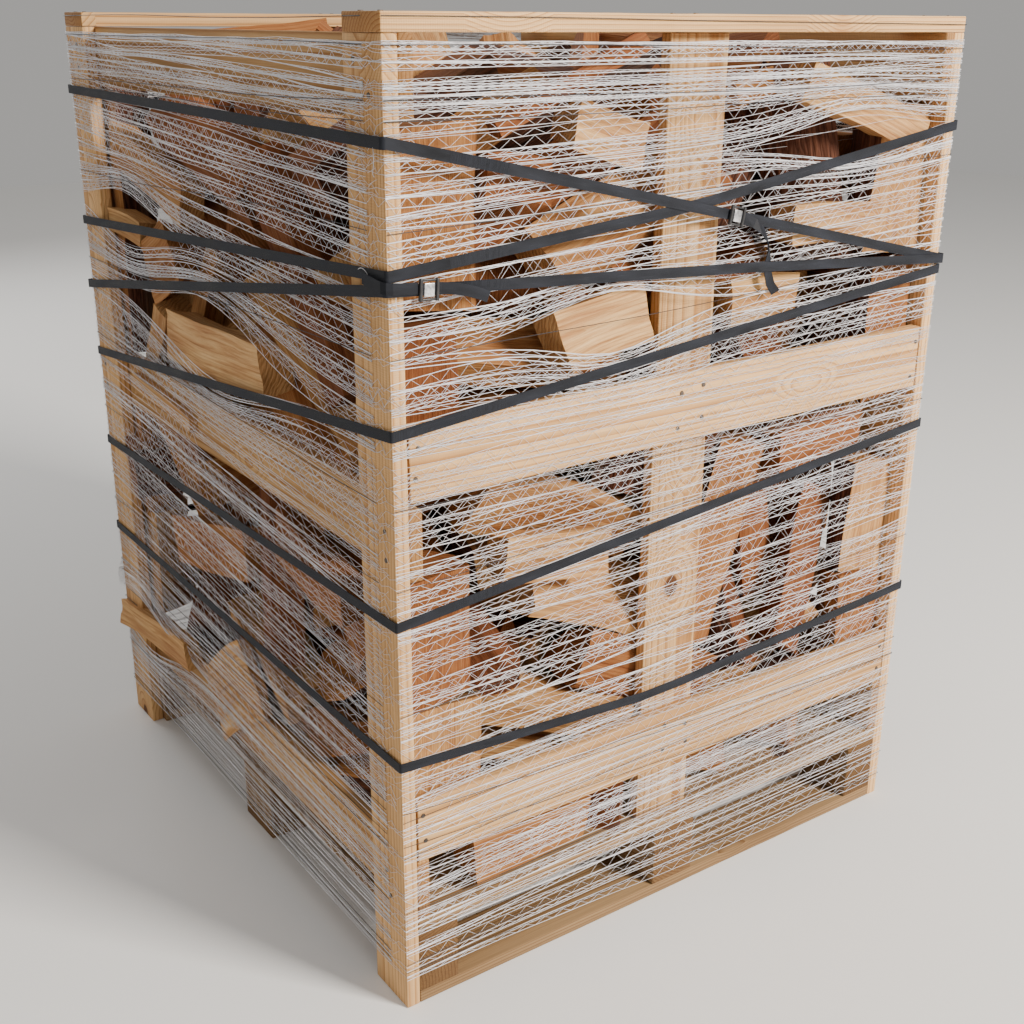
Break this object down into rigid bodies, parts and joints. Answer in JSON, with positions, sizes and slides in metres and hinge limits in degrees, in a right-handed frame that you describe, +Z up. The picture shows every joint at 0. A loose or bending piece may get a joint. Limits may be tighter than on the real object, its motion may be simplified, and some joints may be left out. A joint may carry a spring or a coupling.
{
  "type": "firewood crate",
  "caption": "Pallet crate of split firewood chunks, wrapped round its sides in white knitted net and held by tight flat plastic straps, with fork openings on all four sides of its base.",
  "frame": {"origin": "middle of the whole footprint, on the floor", "axes": "+Z up, +X along the end that has the buckles, towards the right seen from that end, +Y from that end to the back"},
  "size_m": [0.961, 1.0238, 1.2299],
  "materials": {
    "crate_wood": "rough-sawn pale pine boards with knots, dusty",
    "pallet_wood": "rough-sawn pine, browner and dirtier than the crate",
    "firewood": "split hardwood faces, pale tan to orange brown, sawn ends",
    "bark": "dark reddish brown bark, rough",
    "netting": "thin white polymer threads with a few black ones",
    "strapping": "dark grey plastic strapping with a fine embossed surface",
    "buckle_plastic": "black moulded plastic"
  },
  "bodies": {
    "root": {"base_board_front": "pallet_wood", "block_front_left": "pallet_wood", "block_front_mid": "pallet_wood", "block_front_right": "pallet_wood", "base_board_mid": "pallet_wood", "block_mid_left": "pallet_wood", "block_mid_mid": "pallet_wood", "block_mid_right": "pallet_wood", "base_board_back": "pallet_wood", "block_back_left": "pallet_wood", "block_back_mid": "pallet_wood", "block_back_right": "pallet_wood", "stringer_left": "pallet_wood", "stringer_mid": "pallet_wood", "stringer_right": "pallet_wood", "deck_board_1": "pallet_wood", "deck_board_2": "pallet_wood", "deck_board_3": "pallet_wood", "deck_board_4": "pallet_wood", "deck_board_5": "pallet_wood", "corner_post_front_left": "crate_wood", "corner_post_back_left": "crate_wood", "side_rail_left_low": "crate_wood", "side_rail_left_mid": "crate_wood", "side_rail_left_top": "crate_wood", "corner_post_front_right": "crate_wood", "corner_post_back_right": "crate_wood", "side_rail_right_low": "crate_wood", "side_rail_right_mid": "crate_wood", "side_rail_right_top": "crate_wood", "end_rail_front_low": "crate_wood", "end_rail_front_mid": "crate_wood", "mid_post_front": "crate_wood", "top_board_front": "crate_wood", "end_rail_back_low": "crate_wood", "end_rail_back_mid": "crate_wood", "mid_post_back": "crate_wood", "top_board_back": "crate_wood", "chunk_left_broad": "firewood", "chunk_left_splint": "firewood", "chunk_left_upper": "firewood", "chunk_left_face": "firewood", "chunk_left_low": "firewood", "chunk_left_slipped": "firewood", "chunk_right_low": "firewood", "chunk_front_wedge": "firewood", "chunk_front_slanted": "bark", "chunk_front_broad": "firewood", "chunk_front_middle": "firewood", "chunk_top_tip": "firewood", "firewood_fill": "firewood", "net_wrap": "netting", "strap_1": "strapping", "strap_2": "strapping", "strap_3": "strapping", "strap_4": "strapping", "strap_5": "strapping", "strap_6": "strapping", "buckle_front_left": "buckle_plastic", "buckle_front_middle": "buckle_plastic"}
  },
  "joints": []
}
